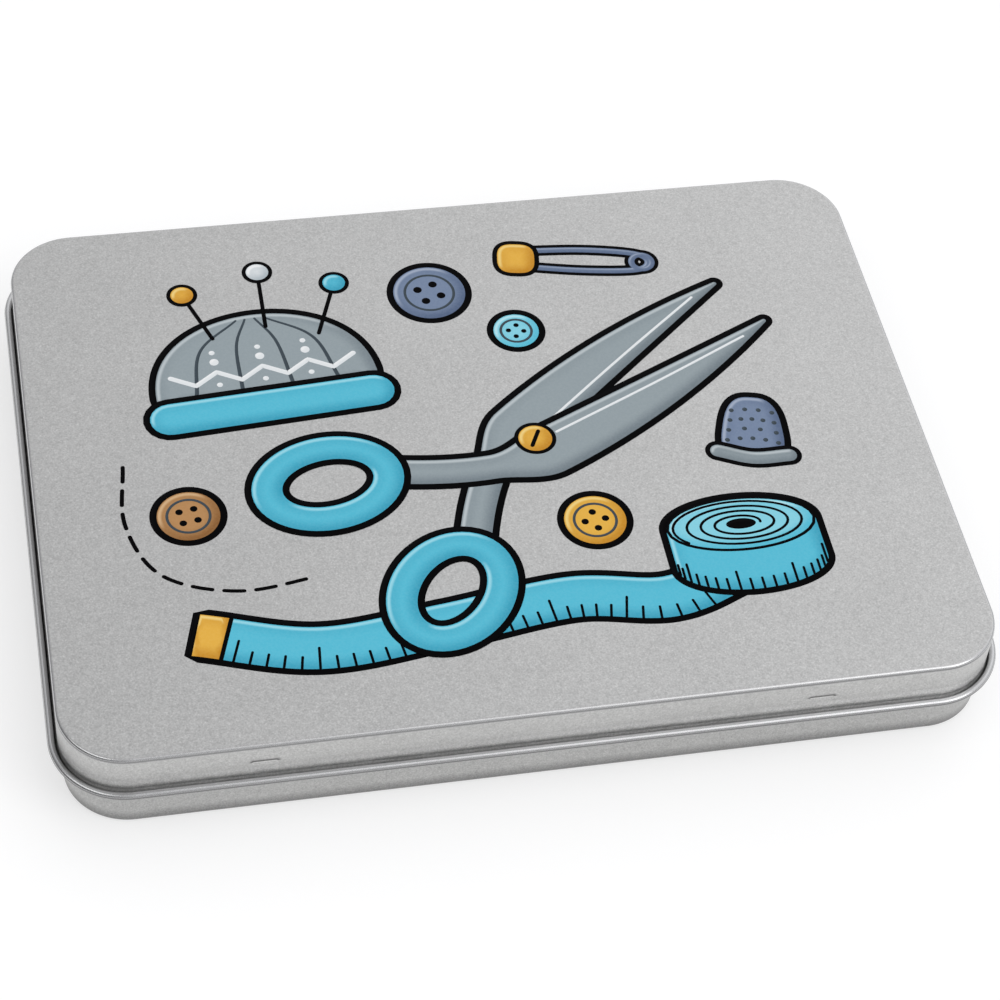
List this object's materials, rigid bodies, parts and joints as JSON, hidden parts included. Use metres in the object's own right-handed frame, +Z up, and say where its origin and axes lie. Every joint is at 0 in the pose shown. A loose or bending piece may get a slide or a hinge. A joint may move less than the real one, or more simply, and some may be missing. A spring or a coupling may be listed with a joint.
{
  "type": "hinged storage tin",
  "caption": "Flat hinged storage tin of drawn tinplate with round corners, a slip-over lid with a rolled bead, snap dimples and wire-pin hinges.",
  "frame": {"origin": "on the resting plane, under the middle of the closed tin's outline", "axes": "+X along the long front wall to the right as seen from the front, +Y from the front to the hinge, +Z up through the lid"},
  "size_m": [0.194, 0.149, 0.0215],
  "materials": {
    "lid_tinplate": "satin tinplate with a fine mottled grain",
    "tray_tinplate": "satin tinplate with a fine mottled grain",
    "hinge_wire": "drawn steel wire, bright",
    "lid_print": "printed colours under a satin varnish"
  },
  "bodies": {
    "tray": {"base_tray": "tray_tinplate"},
    "lid": {"lid": "lid_tinplate", "hinge_pin_left": "hinge_wire", "hinge_pin_right": "hinge_wire"}
  },
  "joints": [
    {"name": "lid_hinge", "type": "hinge", "parent": "tray", "child": "lid", "pos_m": [0, 0.07375, 0.0117], "axis": [-1, 0, 0], "range_deg": [0, 180]}
  ]
}
